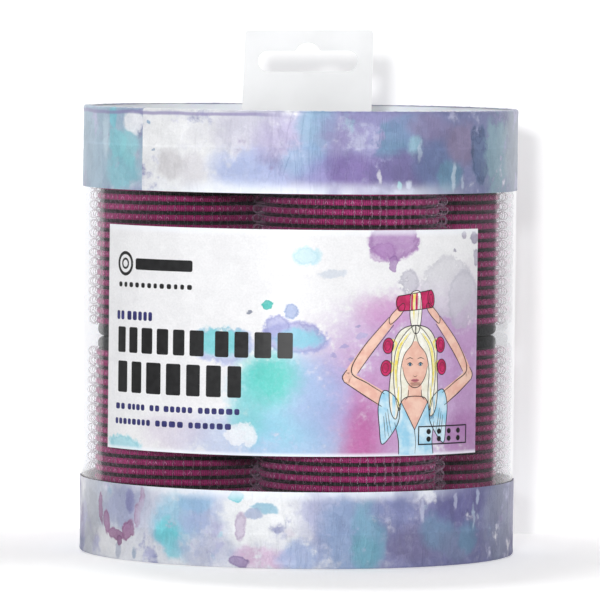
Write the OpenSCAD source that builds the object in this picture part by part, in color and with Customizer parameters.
// Clear round tub of eight self-grip foam hair rollers, two tiers of four.
// Millimetres, +Z up, origin at the centre of the tub's base. The front faces -Y.

/* [Tub] */
// Outside diameter of the clear tube
tub_od = 123.8; // [123.8:0.2:140]
// Height from the surface it stands on to the top of the rim
tub_h = 127.2; // [126:0.2:140]
// Thickness of the clear tube
tube_wall_t = 0.4; // [0.3:0.1:0.6]

/* [Caps] */
// Depth of the plug that each cap pushes into the tube
plug_depth = 10.5; // [6:0.5:14]
// How far the lid's disc lies below its rim
lid_recess = 2.7; // [1:0.1:3]
// How far the base's disc lies above the surface
base_recess = 0.4; // [0.2:0.1:0.6]
// Thickness of the caps' moulded walls
cap_wall_t = 0.4; // [0.3:0.1:0.6]
// Thickness of the caps' discs
disc_t = 0.6; // [0.4:0.1:0.8]

/* [Bands and label] */
// Height of the printed band round the lid
top_band_h = 23; // [18:0.5:26]
// Height of the printed band round the base
bottom_band_h = 21.4; // [18:0.2:26]
// Thickness of the printed film
film_t = 0.15; // [0.1:0.05:0.2]
// Width of the front label, measured round the tube
label_w = 122.5; // [90:0.5:130]
// Height of the front label
label_h = 63; // [40:0.5:75]
// Height of the label's lower edge above the surface
label_z = 31.3; // [26:0.1:40]
// Angle of the label's middle from the front, positive to the right
label_angle = -2.9; // [-10:0.1:10]

/* [Rollers] */
// Diameter of a roller over its hook mesh, without the hooks
roller_d = 49.4; // [46:0.2:49.8]
// Length of a roller's foam
roller_len = 60.4; // [50:0.2:60.4]
// Diameter of the hole through the foam
roller_bore = 30; // [22:1:36]
// Thickness of the hook mesh's backing
mesh_t = 0.8; // [0.5:0.1:1.2]
// Bare foam at each end of a roller, past the mesh
foam_overhang = 3; // [1:0.5:6]
// Distance from the tub's axis to a roller's axis
ring_r = 35.6; // [35.4:0.1:35.8]
// Angle of the first roller from the front, positive to the right
first_angle = 23.6; // [0:0.2:90]
// Free height between the two tiers
tier_gap = 0.4; // [0.3:0.1:1]

/* [Hang tab] */
// Width of the hang tab at its fold
tab_w = 37.1; // [32:0.1:44]
// Width of the hang tab at its top edge
tab_top_w = 36.6; // [30:0.1:44]
// Height of the hang tab above its fold
tab_h = 24; // [22:0.1:30]
// Thickness of the hang tab
tab_t = 0.5; // [0.4:0.1:0.8]
// Radius of the tab's top corners
tab_corner_r = 1.2; // [0.5:0.1:3]
// Distance of the tab's middle from the lid's centre, positive to the right
tab_x = 1.6; // [-10:0.1:10]
// Angle by which the tab is turned in its own plane, as it was stuck on
tab_turn = 0.8; // [0:0.1:3]
// Sideways skew of the tab's top edge
tab_skew = 0.8; // [0:0.1:2]
// Length of the tab's foot, stuck to the lid
foot_len = 20; // [12:1:30]
// Length of the hook slot, end to end
slot_w = 28.6; // [24:0.1:30]
// Height of the hook slot's straight part
slot_h = 5.9; // [5:0.1:7]
// Height of the slot's lower edge above the fold
slot_rise = 12.2; // [10:0.1:14]
// Radius of the bump in the middle of the slot
bump_r = 3.75; // [3:0.05:5]
// Height of the bump above the slot's straight part
bump_h = 2.3; // [1.5:0.1:3]

/* [Hidden] */
$fn = 96;

tub_r = tub_od / 2;
tube_inner_r = tub_r - tube_wall_t;

// A cap's flange covers the tube's end, and its plug slides inside the tube
flange_t = 1.2;
flange_round_r = 0.5;
plug_clearance = 0.25;
plug_r = tube_inner_r - plug_clearance;
plug_inner_r = plug_r - cap_wall_t;

// The lid's film laps over its rim, so the moulded rim is one film lower
lid_top_z = tub_h - film_t;
lid_disc_top = lid_top_z - lid_recess;
tube_z0 = flange_t;
tube_end_gap = 0.2;
tube_z1 = lid_top_z - flange_t - tube_end_gap;

// The top band comes off with the lid, so it clears the tube by this much
band_clearance = 0.2;
band_lap = 1.2;
label_arc = label_w / tub_r * 180 / PI;

// Two tiers of rollers stand on the base's disc
rollers_per_tier = 4;
roller_step = 360 / rollers_per_tier;
base_gap = 0.3;
base_disc_top = base_recess + disc_t;
tier_z0 = base_disc_top + base_gap;
tier_pitch = roller_len + tier_gap;
foam_r = roller_d / 2 - mesh_t;
foam_edge_r = 1.5;

// The hang tab folds about a line just above its foot
tape_t = 0.15;
tape_margin = 1;
foot_t = 0.4;
fold_clearance = 0.1;
foot_z = lid_disc_top + tape_t;
fold_z = foot_z + foot_t + fold_clearance + tab_t / 2;

// Ring of rectangular section between two radii and two heights
module ring(inner_r, outer_r, z0, z1) {
    rotate_extrude()
        translate([inner_r, z0])
            square([outer_r - inner_r, z1 - z0]);
}

// Section of a cap with its outside face at z = 0 and its plug pointing up
module cap_section(recess) {
    // Flange with a rounded outer edge
    translate([plug_inner_r, flange_round_r])
        square([tub_r - plug_inner_r, flange_t - flange_round_r]);
    translate([plug_inner_r, 0])
        square([tub_r - flange_round_r - plug_inner_r, flange_t]);
    translate([tub_r - flange_round_r, flange_round_r])
        circle(r = flange_round_r);
    // Plug wall
    translate([plug_inner_r, 0])
        square([cap_wall_t, plug_depth]);
    // Disc
    translate([0, recess])
        square([plug_inner_r + cap_wall_t / 2, disc_t]);
}

module cap(recess) {
    rotate_extrude() cap_section(recess);
}

// One roller's place: its axis stands at the ring radius, and each tier is one pitch higher
module at_roller(tier, place) {
    rotate([0, 0, first_angle + (place - 1) * roller_step])
        translate([0, -ring_r, tier_z0 + tier * tier_pitch])
            children();
}

// Hollow foam cylinder with softly rounded outer edges
module roller_foam(tier, place) {
    wall = foam_r - roller_bore / 2;
    color([0.07, 0.07, 0.08])
        at_roller(tier, place)
            rotate_extrude()
                union() {
                    translate([roller_bore / 2, foam_edge_r])
                        square([wall, roller_len - 2 * foam_edge_r]);
                    translate([roller_bore / 2, 0])
                        square([wall - foam_edge_r, roller_len]);
                    for (z = [foam_edge_r, roller_len - foam_edge_r])
                        translate([foam_r - foam_edge_r, z])
                            circle(r = foam_edge_r);
                }
}

// Hook-mesh sleeve wrapped round the foam
module roller_mesh(tier, place) {
    color([0.72, 0.05, 0.36])
        at_roller(tier, place)
            ring(foam_r, roller_d / 2, foam_overhang, roller_len - foam_overhang);
}

module tube_wall() {
    color([0.9, 0.93, 0.95, 0.3])
        ring(tube_inner_r, tub_r, tube_z0, tube_z1);
}

module base_cap() {
    color([0.86, 0.88, 0.92])
        cap(base_recess);
}

module bottom_band() {
    color([0.72, 0.72, 0.86])
        ring(tub_r, tub_r + film_t, flange_round_r, bottom_band_h);
}

module front_label() {
    color([0.82, 0.8, 0.9])
        rotate([0, 0, label_angle - label_arc / 2 - 90])
            rotate_extrude(angle = label_arc)
                translate([tub_r, label_z])
                    square([film_t, label_h]);
}

module lid() {
    color([0.88, 0.9, 0.94])
        translate([0, 0, lid_top_z])
            mirror([0, 0, 1])
                cap(lid_recess);
}

// Film round the lid, lapped over the rim
module top_band() {
    band_r = tub_r + band_clearance;
    color([0.66, 0.68, 0.86])
        rotate_extrude()
            union() {
                translate([band_r, tub_h - top_band_h])
                    square([film_t, top_band_h]);
                translate([band_r - band_lap, lid_top_z])
                    square([band_lap + film_t / 2, film_t]);
            }
}

// Double-sided tape under the tab's foot
module tab_tape() {
    color([0.92, 0.92, 0.9])
        translate([tab_x - tab_w / 2 + tape_margin, -foot_len + tape_margin, lid_disc_top])
            cube([tab_w - 2 * tape_margin, foot_len - 2 * tape_margin, tape_t]);
}

// Foot of the hang tab, which lies on the lid in front of the fold
module tab_foot() {
    color([0.93, 0.95, 0.97])
        translate([tab_x - tab_w / 2, -foot_len, foot_z])
            cube([tab_w, foot_len + tab_t / 2, foot_t]);
}

// Slot with round ends and a bump in the middle of its upper edge, centred on x = 0
module hook_slot() {
    end_r = slot_h / 2;
    translate([-slot_w / 2 + end_r, 0])
        square([slot_w - slot_h, slot_h]);
    for (side = [-1, 1])
        translate([side * (slot_w / 2 - end_r), end_r])
            circle(r = end_r);
    translate([0, slot_h + bump_h - bump_r])
        circle(r = bump_r);
}

// Outline of the tab with round top corners, reaching a little below its fold
module tab_outline() {
    top_half = tab_top_w / 2;
    root = 1;
    polygon([
        [-tab_w / 2, -root],
        [tab_w / 2, -root],
        [top_half + tab_skew, tab_h - tab_corner_r],
        [-top_half + tab_skew, tab_h - tab_corner_r]
    ]);
    translate([-top_half + tab_skew + tab_corner_r, tab_h - 2 * tab_corner_r])
        square([tab_top_w - 2 * tab_corner_r, 2 * tab_corner_r]);
    for (side = [-1, 1])
        translate([side * (top_half - tab_corner_r) + tab_skew, tab_h - tab_corner_r])
            circle(r = tab_corner_r);
}

// Upright part of the tab, cut level at the fold, with a round root that turns in the fold
module hang_tab() {
    color([0.95, 0.96, 0.98])
        translate([tab_x, 0, fold_z]) {
            translate([0, tab_t / 2, 0])
                rotate([90, 0, 0])
                    linear_extrude(height = tab_t)
                        intersection() {
                            rotate(tab_turn)
                                difference() {
                                    tab_outline();
                                    translate([tab_skew / 2, slot_rise])
                                        hook_slot();
                                }
                            translate([-tab_w / 2, 0])
                                square([tab_w + tab_skew, 2 * tab_h]);
                        }
            rotate([0, 90, 0])
                cylinder(r = tab_t / 2, h = tab_w, center = true);
        }
}

tube_wall();
base_cap();
bottom_band();
front_label();
lid();
top_band();
tab_tape();
tab_foot();
hang_tab();
roller_foam(0, 1);  // lower_roller_1_foam
roller_mesh(0, 1);  // lower_roller_1_mesh
roller_foam(0, 2);  // lower_roller_2_foam
roller_mesh(0, 2);  // lower_roller_2_mesh
roller_foam(0, 3);  // lower_roller_3_foam
roller_mesh(0, 3);  // lower_roller_3_mesh
roller_foam(0, 4);  // lower_roller_4_foam
roller_mesh(0, 4);  // lower_roller_4_mesh
roller_foam(1, 1);  // upper_roller_1_foam
roller_mesh(1, 1);  // upper_roller_1_mesh
roller_foam(1, 2);  // upper_roller_2_foam
roller_mesh(1, 2);  // upper_roller_2_mesh
roller_foam(1, 3);  // upper_roller_3_foam
roller_mesh(1, 3);  // upper_roller_3_mesh
roller_foam(1, 4);  // upper_roller_4_foam
roller_mesh(1, 4);  // upper_roller_4_mesh
